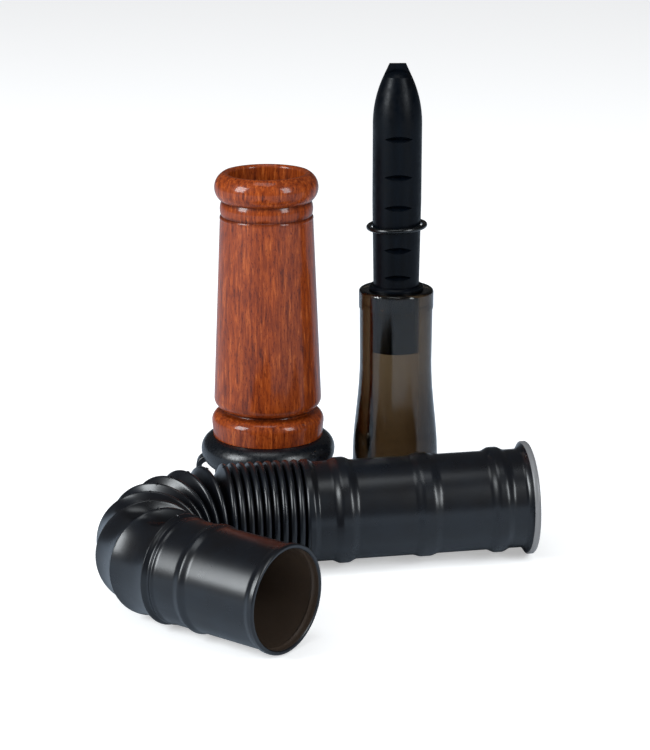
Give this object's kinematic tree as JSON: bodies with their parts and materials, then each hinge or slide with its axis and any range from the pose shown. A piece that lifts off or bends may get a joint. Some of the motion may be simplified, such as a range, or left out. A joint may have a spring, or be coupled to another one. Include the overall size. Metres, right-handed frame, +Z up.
{
  "type": "grunt tube call",
  "caption": "Wooden deer call in its parts: turned barrel with lanyard collar, reed unit in a smoke mouthpiece, and a corrugated flexible tube.",
  "frame": {"origin": "centre of the barrel's foot, where its spigot stands on the table", "axes": "+Z up the barrel's bore, +X to the right towards the reed unit, +Y away from the tube that lies in front"},
  "size_m": [0.1029, 0.1285, 0.1122],
  "materials": {
    "wood": "glossy lacquer over red-brown hardwood",
    "black_plastic": "smooth satin",
    "black_rubber": "satin",
    "smoke_plastic": "clear smoke-tinted, polished",
    "reed_film": "smooth film",
    "cork_black": "matt",
    "hose_plastic": "smooth, slightly see-through"
  },
  "bodies": {
    "barrel": {"wood_barrel": "wood", "hose_spigot": "black_plastic"},
    "collar": {"lanyard_collar": "black_rubber"},
    "mouthpiece": {"mouthpiece": "smoke_plastic"},
    "tone_board": {"tone_board": "black_plastic", "reed_wedge": "cork_black"},
    "reed": {"reed": "reed_film"},
    "o_ring": {"o_ring": "black_rubber"},
    "hose_rear": {"hose_rear_cuff": "hose_plastic"},
    "fold_01": {"hose_fold_01": "hose_plastic"},
    "fold_02": {"hose_fold_02": "hose_plastic"},
    "fold_03": {"hose_fold_03": "hose_plastic"},
    "fold_04": {"hose_fold_04": "hose_plastic"},
    "fold_05": {"hose_fold_05": "hose_plastic"},
    "fold_06": {"hose_fold_06": "hose_plastic"},
    "fold_07": {"hose_fold_07": "hose_plastic"},
    "fold_08": {"hose_fold_08": "hose_plastic"},
    "fold_09": {"hose_fold_09": "hose_plastic", "hose_web_09": "hose_plastic"},
    "fold_10": {"hose_fold_10": "hose_plastic", "hose_web_10": "hose_plastic"},
    "fold_11": {"hose_fold_11": "hose_plastic", "hose_web_11": "hose_plastic"},
    "fold_12": {"hose_fold_12": "hose_plastic", "hose_web_12": "hose_plastic"},
    "fold_13": {"hose_fold_13": "hose_plastic", "hose_web_13": "hose_plastic"},
    "fold_14": {"hose_fold_14": "hose_plastic", "hose_web_14": "hose_plastic"},
    "fold_15": {"hose_fold_15": "hose_plastic", "hose_web_15": "hose_plastic"},
    "fold_16": {"hose_fold_16": "hose_plastic", "hose_web_16": "hose_plastic"},
    "hose_front": {"hose_fold_17": "hose_plastic", "hose_front_cuff": "hose_plastic"}
  },
  "joints": [
    {"name": "collar_turn", "type": "hinge", "parent": "barrel", "child": "collar", "pos_m": [0, 0, 0.0138], "axis": [0, 0, 1], "continuous": true},
    {"name": "mouthpiece_lift", "type": "slide", "parent": "barrel", "child": "mouthpiece", "axis": [0, 0, 1], "range_m": [0, 0.04]},
    {"name": "reed_unit_pull", "type": "slide", "parent": "mouthpiece", "child": "tone_board", "axis": [0, 0, 1], "range_m": [0, 0.018]},
    {"name": "reed_flex", "type": "hinge", "parent": "tone_board", "child": "reed", "pos_m": [0.03215, -0.00005, 0.052], "axis": [0.9994, 0.0349, 0], "range_deg": [-1.5, 0.9], "stiffness_Nm_per_rad": 0.004},
    {"name": "o_ring_slide", "type": "slide", "parent": "tone_board", "child": "o_ring", "axis": [0, 0, 1], "range_m": [-0.0122, 0.0224]},
    {"name": "hose_lift", "type": "slide", "parent": "barrel", "child": "hose_rear", "axis": [0, 0, 1], "range_m": [0, 0.04]},
    {"name": "hose_stretch", "type": "slide", "parent": "hose_rear", "child": "fold_01", "axis": [-0.989, -0.1478, 0], "range_m": [0, 0.004]},
    {"name": "fold_stretch_02", "type": "slide", "parent": "fold_01", "child": "fold_02", "axis": [-0.9882, -0.153, 0], "range_m": [0, 0.004]},
    {"name": "fold_stretch_03", "type": "slide", "parent": "fold_02", "child": "fold_03", "axis": [-0.9866, -0.1633, 0], "range_m": [0, 0.004]},
    {"name": "fold_stretch_04", "type": "slide", "parent": "fold_03", "child": "fold_04", "axis": [-0.9848, -0.1736, 0], "range_m": [0, 0.004]},
    {"name": "fold_stretch_05", "type": "slide", "parent": "fold_04", "child": "fold_05", "axis": [-0.9829, -0.184, 0], "range_m": [0, 0.004]},
    {"name": "fold_stretch_06", "type": "slide", "parent": "fold_05", "child": "fold_06", "axis": [-0.981, -0.1942, 0], "range_m": [0, 0.004]},
    {"name": "fold_stretch_07", "type": "slide", "parent": "fold_06", "child": "fold_07", "axis": [-0.9789, -0.2045, 0], "range_m": [0, 0.004]},
    {"name": "fold_stretch_08", "type": "slide", "parent": "fold_07", "child": "fold_08", "axis": [-0.9767, -0.2147, 0], "range_m": [0, 0.004]},
    {"name": "fold_stretch_09", "type": "slide", "parent": "fold_08", "child": "fold_09", "axis": [-0.9744, -0.225, 0], "range_m": [0, 0.004]},
    {"name": "hose_bend", "type": "hinge", "parent": "fold_09", "child": "fold_10", "pos_m": [-0.00701, -0.0613, 0.01255], "axis": [0, 0, 1], "range_deg": [-11.8, 0], "deforming": ["hose_web_09"]},
    {"name": "fold_bend_11", "type": "hinge", "parent": "fold_10", "child": "fold_11", "pos_m": [-0.00891, -0.06219, 0.01255], "axis": [0, 0, 1], "range_deg": [-13.05, 0], "deforming": ["hose_web_10"]},
    {"name": "fold_bend_12", "type": "hinge", "parent": "fold_11", "child": "fold_12", "pos_m": [-0.01056, -0.06348, 0.01255], "axis": [0, 0, 1], "range_deg": [-14.3, 0], "deforming": ["hose_web_11"]},
    {"name": "fold_bend_13", "type": "hinge", "parent": "fold_12", "child": "fold_13", "pos_m": [-0.01184, -0.06515, 0.01255], "axis": [0, 0, 1], "range_deg": [-15.55, 0], "deforming": ["hose_web_12"]},
    {"name": "fold_bend_14", "type": "hinge", "parent": "fold_13", "child": "fold_14", "pos_m": [-0.01263, -0.0671, 0.01255], "axis": [0, 0, 1], "range_deg": [-16.8, 0], "deforming": ["hose_web_13"]},
    {"name": "fold_bend_15", "type": "hinge", "parent": "fold_14", "child": "fold_15", "pos_m": [-0.01282, -0.06919, 0.01255], "axis": [0, 0, 1], "range_deg": [-18.05, 0], "deforming": ["hose_web_14"]},
    {"name": "fold_bend_16", "type": "hinge", "parent": "fold_15", "child": "fold_16", "pos_m": [-0.01235, -0.07124, 0.01255], "axis": [0, 0, 1], "range_deg": [-19.3, 0], "deforming": ["hose_web_15"]},
    {"name": "fold_bend_17", "type": "hinge", "parent": "fold_16", "child": "hose_front", "pos_m": [-0.01123, -0.07301, 0.01255], "axis": [0, 0, 1], "range_deg": [-20.55, 0], "deforming": ["hose_web_16"]}
  ],
  "couplings": [
    {"joint": "fold_stretch_02", "follows": "hose_stretch", "ratio": 1},
    {"joint": "fold_stretch_03", "follows": "hose_stretch", "ratio": 1},
    {"joint": "fold_stretch_04", "follows": "hose_stretch", "ratio": 1},
    {"joint": "fold_stretch_05", "follows": "hose_stretch", "ratio": 1},
    {"joint": "fold_stretch_06", "follows": "hose_stretch", "ratio": 1},
    {"joint": "fold_stretch_07", "follows": "hose_stretch", "ratio": 1},
    {"joint": "fold_stretch_08", "follows": "hose_stretch", "ratio": 1},
    {"joint": "fold_stretch_09", "follows": "hose_stretch", "ratio": 1},
    {"joint": "fold_bend_11", "follows": "hose_bend", "ratio": 1.1059},
    {"joint": "fold_bend_12", "follows": "hose_bend", "ratio": 1.2119},
    {"joint": "fold_bend_13", "follows": "hose_bend", "ratio": 1.3178},
    {"joint": "fold_bend_14", "follows": "hose_bend", "ratio": 1.4237},
    {"joint": "fold_bend_15", "follows": "hose_bend", "ratio": 1.5297},
    {"joint": "fold_bend_16", "follows": "hose_bend", "ratio": 1.6356},
    {"joint": "fold_bend_17", "follows": "hose_bend", "ratio": 1.7415}
  ]
}
